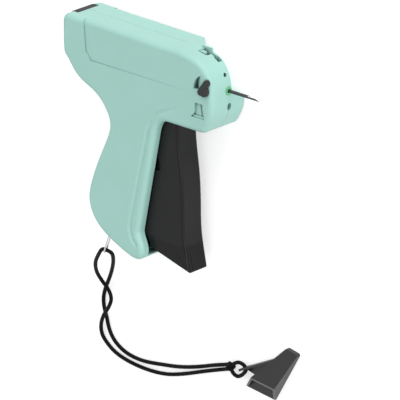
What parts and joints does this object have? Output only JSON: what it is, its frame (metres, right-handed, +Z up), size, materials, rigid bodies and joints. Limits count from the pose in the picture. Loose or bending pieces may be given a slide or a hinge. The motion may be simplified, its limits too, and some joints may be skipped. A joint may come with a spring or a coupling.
{
  "type": "garment tag attacher",
  "caption": "Pistol-shaped hand tool with a squeeze trigger, hollow needle, lock knob and clip slot, lying on its side with a needle cap on a doubled cord.",
  "frame": {"origin": "on the surface the tool lies on, under the middle of the tool's box, which is measured without the cord and its cap", "axes": "+X the way the needle points, +Y from the grip to the top of the body, +Z up, out of the tool's right-hand side"},
  "size_m": [0.1625, 0.227, 0.0322],
  "materials": {
    "shell_mint": "satin, fine grain",
    "trigger_black": "satin black",
    "black_plastic": "satin black",
    "base_green": "bright green",
    "inner_plastic": "natural white",
    "steel": "plain",
    "needle_steel": "dark",
    "cord_black": "braided",
    "cap_black": "matt black"
  },
  "bodies": {
    "casing": {"right_shell": "shell_mint", "left_shell": "shell_mint", "needle": "needle_steel", "needle_base": "base_green", "feed_shaft": "steel", "feed_pawl": "steel", "return_spring": "steel", "trigger_pin": "steel", "lever_pin": "steel", "shell_screws": "steel", "rear_plug": "black_plastic", "lanyard_eye": "steel", "lanyard_cord": "cord_black", "cord_loop": "cord_black", "cord_knot": "cord_black", "needle_cap": "cap_black"},
    "trigger_body": {"trigger": "trigger_black", "link_pin": "steel"},
    "lever_body": {"drive_lever": "inner_plastic"},
    "slider_body": {"slider": "inner_plastic", "slider_pin": "steel", "push_rod": "steel"},
    "wheel_body": {"feed_wheel": "inner_plastic"},
    "lock_body": {"needle_lock": "black_plastic"}
  },
  "joints": [
    {"name": "trigger_squeeze", "type": "hinge", "parent": "casing", "child": "trigger_body", "pos_m": [0.01075, 0.033, 0.015], "axis": [0, 0, -1], "range_deg": [0, 13], "stiffness_Nm_per_rad": 1.2, "springref_deg": -20.05},
    {"name": "lever_swing", "type": "hinge", "parent": "casing", "child": "lever_body", "pos_m": [-0.0122, 0.00565, 0.015], "axis": [0, 0, -1], "range_deg": [0, 45.82]},
    {"name": "slider_stroke", "type": "slide", "parent": "casing", "child": "slider_body", "axis": [1, 0, 0], "range_m": [0, 0.03454]},
    {"name": "feed_wheel_turn", "type": "hinge", "parent": "casing", "child": "wheel_body", "pos_m": [0.03375, 0.0565, 0.0203], "axis": [1, 0, 0], "continuous": true},
    {"name": "needle_lock_turn", "type": "hinge", "parent": "casing", "child": "lock_body", "pos_m": [0.04315, 0.0498, 0.03], "axis": [0, 0, 1], "range_deg": [0, 90]}
  ],
  "couplings": [
    {"joint": "lever_swing", "follows": "trigger_squeeze", "ratio": 3.5234},
    {"joint": "slider_stroke", "follows": "trigger_squeeze", "m_per_rad": 0.15212}
  ]
}
